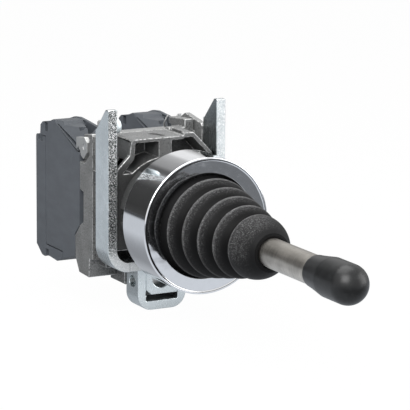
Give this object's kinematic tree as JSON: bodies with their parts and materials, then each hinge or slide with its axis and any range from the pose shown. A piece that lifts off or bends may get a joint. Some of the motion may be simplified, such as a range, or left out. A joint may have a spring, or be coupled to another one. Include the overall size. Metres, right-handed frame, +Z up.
{
  "type": "industrial joystick",
  "caption": "Panel-mounted joystick: a lever in a rubber bellows and chromed bezel tilts left or right and pushes contact blocks held on a die-cast body behind the panel.",
  "frame": {"origin": "centre of the neck where the gasket's rear face rests on the panel", "axes": "+Y runs rearwards through the panel to the contact blocks, so the lever points along -Y; +Z is up; +X is to the right as seen from the lever's side"},
  "size_m": [0.043, 0.1742, 0.0673],
  "materials": {
    "chrome_bezel": "polished",
    "black_rubber": "matt, moulded",
    "dark_casting": "sandy die-cast, dark",
    "light_casting": "sandy die-cast, light grey",
    "zinc_plate": "bright zinc plating",
    "lever_steel": "turned, brushed",
    "knob_plastic": "satin black",
    "block_plastic": "matt blue-grey, moulded",
    "pale_plastic": "smooth, off-white",
    "contact_metal": "bright strip",
    "steel_parts": "bright steel"
  },
  "bodies": {
    "frame": {"bezel": "chrome_bezel", "gasket": "black_rubber", "neck_sleeve": "dark_casting", "bellows": "black_rubber", "centring_spring": "steel_parts", "pivot_pin": "steel_parts", "carrier": "dark_casting", "mounting_strap": "zinc_plate", "leg_stud": "zinc_plate", "clamp_yoke": "zinc_plate", "collar": "light_casting", "latch_pins": "steel_parts", "block_body_left": "block_plastic", "block_body_right": "block_plastic", "block_cap_left": "block_plastic", "block_cap_right": "block_plastic", "return_spring_left": "steel_parts", "return_spring_right": "steel_parts", "fixed_contacts_left": "contact_metal", "fixed_contacts_right": "contact_metal", "wire_clamps_left": "steel_parts", "wire_clamps_right": "steel_parts", "release_tabs": "steel_parts"},
    "lever": {"lever_rod": "lever_steel", "knob": "knob_plastic", "rocker": "light_casting", "cross_pin": "steel_parts", "spring_washer": "steel_parts"},
    "ring_nut": {"ring_nut": "dark_casting"},
    "clamp_screw": {"clamp_screw": "steel_parts"},
    "push_left": {"push_rod_left": "pale_plastic"},
    "push_right": {"push_rod_right": "pale_plastic"},
    "contact_left": {"plunger_left": "pale_plastic", "bridge_left": "contact_metal", "bridge_spring_left": "steel_parts"},
    "contact_right": {"plunger_right": "pale_plastic", "bridge_right": "contact_metal", "bridge_spring_right": "steel_parts"},
    "latch_left": {"latch_left": "steel_parts"},
    "latch_right": {"latch_right": "steel_parts"},
    "screw_top_left": {"terminal_screw_top_left": "steel_parts"},
    "screw_bottom_left": {"terminal_screw_bottom_left": "steel_parts"},
    "screw_top_right": {"terminal_screw_top_right": "steel_parts"},
    "screw_bottom_right": {"terminal_screw_bottom_right": "steel_parts"}
  },
  "joints": [
    {"name": "lever_tilt", "type": "hinge", "parent": "frame", "child": "lever", "pos_m": [0, 0.017, 0], "axis": [0, 0, 1], "range_deg": [-12, 12], "stiffness_Nm_per_rad": 1.5, "deforming": ["bellows", "centring_spring"]},
    {"name": "push_rod_left_slide", "type": "slide", "parent": "frame", "child": "push_left", "axis": [0, 1, 0], "range_m": [-0.00307, 0.00307]},
    {"name": "contact_left_slide", "type": "slide", "parent": "frame", "child": "contact_left", "axis": [0, 1, 0], "range_m": [-0.00307, 0.00307], "deforming": ["return_spring_left"]},
    {"name": "push_rod_right_slide", "type": "slide", "parent": "frame", "child": "push_right", "axis": [0, 1, 0], "range_m": [-0.00307, 0.00307]},
    {"name": "contact_right_slide", "type": "slide", "parent": "frame", "child": "contact_right", "axis": [0, 1, 0], "range_m": [-0.00307, 0.00307], "deforming": ["return_spring_right"]},
    {"name": "latch_left_lift", "type": "hinge", "parent": "frame", "child": "latch_left", "pos_m": [-0.0192, 0.0311, 0.0184], "axis": [1, 0, 0], "range_deg": [0, 24]},
    {"name": "latch_right_lift", "type": "hinge", "parent": "frame", "child": "latch_right", "pos_m": [0.0096, 0.0311, 0.0184], "axis": [1, 0, 0], "range_deg": [0, 24]},
    {"name": "clamp_screw_turn", "type": "hinge", "parent": "frame", "child": "clamp_screw", "pos_m": [0, 0.021, -0.0228], "axis": [0, 1, 0], "continuous": true},
    {"name": "ring_nut_turn", "type": "hinge", "parent": "frame", "child": "ring_nut", "pos_m": [0, 0.008, 0], "axis": [0, 1, 0], "continuous": true},
    {"name": "screw_top_left_turn", "type": "hinge", "parent": "frame", "child": "screw_top_left", "pos_m": [-0.0144, 0.0416, 0.016], "axis": [0, 0, 1], "continuous": true},
    {"name": "screw_bottom_left_turn", "type": "hinge", "parent": "frame", "child": "screw_bottom_left", "pos_m": [-0.0144, 0.0416, -0.016], "axis": [0, 0, 1], "continuous": true},
    {"name": "screw_top_right_turn", "type": "hinge", "parent": "frame", "child": "screw_top_right", "pos_m": [0.0144, 0.0416, 0.016], "axis": [0, 0, 1], "continuous": true},
    {"name": "screw_bottom_right_turn", "type": "hinge", "parent": "frame", "child": "screw_bottom_right", "pos_m": [0.0144, 0.0416, -0.016], "axis": [0, 0, 1], "continuous": true}
  ],
  "couplings": [
    {"joint": "push_rod_left_slide", "follows": "lever_tilt", "m_per_rad": -0.0146},
    {"joint": "contact_left_slide", "follows": "lever_tilt", "m_per_rad": -0.0146},
    {"joint": "push_rod_right_slide", "follows": "lever_tilt", "m_per_rad": 0.0146},
    {"joint": "contact_right_slide", "follows": "lever_tilt", "m_per_rad": 0.0146}
  ]
}
